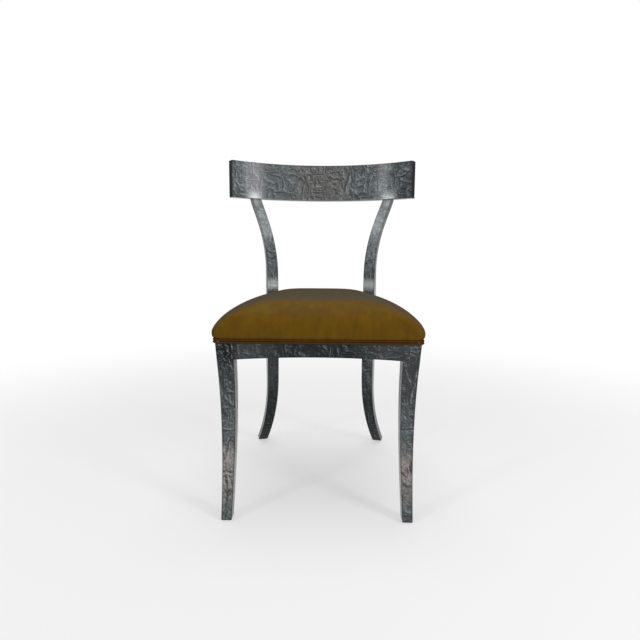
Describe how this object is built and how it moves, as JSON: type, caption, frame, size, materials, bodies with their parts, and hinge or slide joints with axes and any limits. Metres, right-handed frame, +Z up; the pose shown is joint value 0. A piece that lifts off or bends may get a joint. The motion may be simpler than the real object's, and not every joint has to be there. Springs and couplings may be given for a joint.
{
  "type": "klismos chair",
  "caption": "Klismos side chair with swept sabre legs, a curved horizontal back tablet and a crowned leather seat edged with a double welt.",
  "frame": {"origin": "on the floor, under the middle of the chair's bounding box", "axes": "+Z up, -Y towards the front of the seat, +X towards the sitter's left hand"},
  "size_m": [0.5656, 0.603, 0.876],
  "materials": {
    "frame_finish": "carved wood under crumpled pewter-coloured leaf and satin lacquer",
    "block_wood": "sawn beech",
    "steel": "zinc plated",
    "nylon": "moulded nylon",
    "plywood": "birch plywood",
    "foam": "open-cell foam",
    "leather": "smooth mustard-gold leather, semi-gloss",
    "welt_leather": "leather cord, brown-gold",
    "cambric": "black non-woven cambric"
  },
  "bodies": {
    "root": {"front_leg_left": "frame_finish", "front_leg_right": "frame_finish", "rear_leg_left": "frame_finish", "rear_leg_right": "frame_finish", "tablet": "frame_finish", "front_seat_rail": "frame_finish", "rear_seat_rail": "frame_finish", "side_seat_rail_left": "frame_finish", "side_seat_rail_right": "frame_finish", "front_corner_block_left": "block_wood", "front_corner_block_right": "block_wood", "rear_corner_block_left": "block_wood", "rear_corner_block_right": "block_wood", "block_screws": "steel", "seat_screws": "steel", "glides": "nylon", "seat_board": "plywood", "seat_foam": "foam", "seat_cover": "leather", "lower_welt": "welt_leather", "upper_welt": "welt_leather", "rear_lower_welt": "welt_leather", "rear_upper_welt": "welt_leather", "dust_cover": "cambric"}
  },
  "joints": []
}
